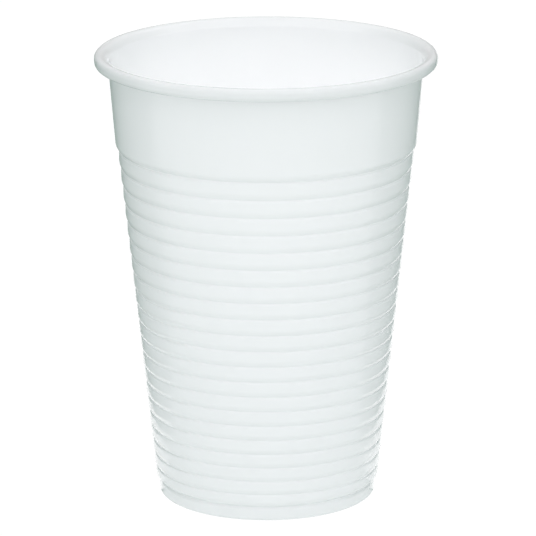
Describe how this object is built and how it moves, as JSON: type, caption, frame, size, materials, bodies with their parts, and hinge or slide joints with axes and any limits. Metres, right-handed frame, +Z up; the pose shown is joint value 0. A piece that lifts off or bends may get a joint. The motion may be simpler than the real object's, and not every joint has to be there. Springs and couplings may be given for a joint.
{
  "type": "ribbed plastic drinking cup",
  "caption": "Thin white throw-away cup with a rolled rim, a smooth band and stepped rings down to a narrow foot; holds a drink, or takes a putted ball when laid on its side.",
  "frame": {"origin": "centre of the ring the cup stands on, at the level of the table", "axes": "+Z up along the axis of the cup, from the foot to the rim; +X and +Y are interchangeable"},
  "size_m": [0.0702, 0.0702, 0.0936],
  "materials": {
    "white_plastic": "thin formed polystyrene sheet, white, glossy and faintly see-through to light"
  },
  "bodies": {
    "root": {"cup": "white_plastic"}
  },
  "joints": []
}
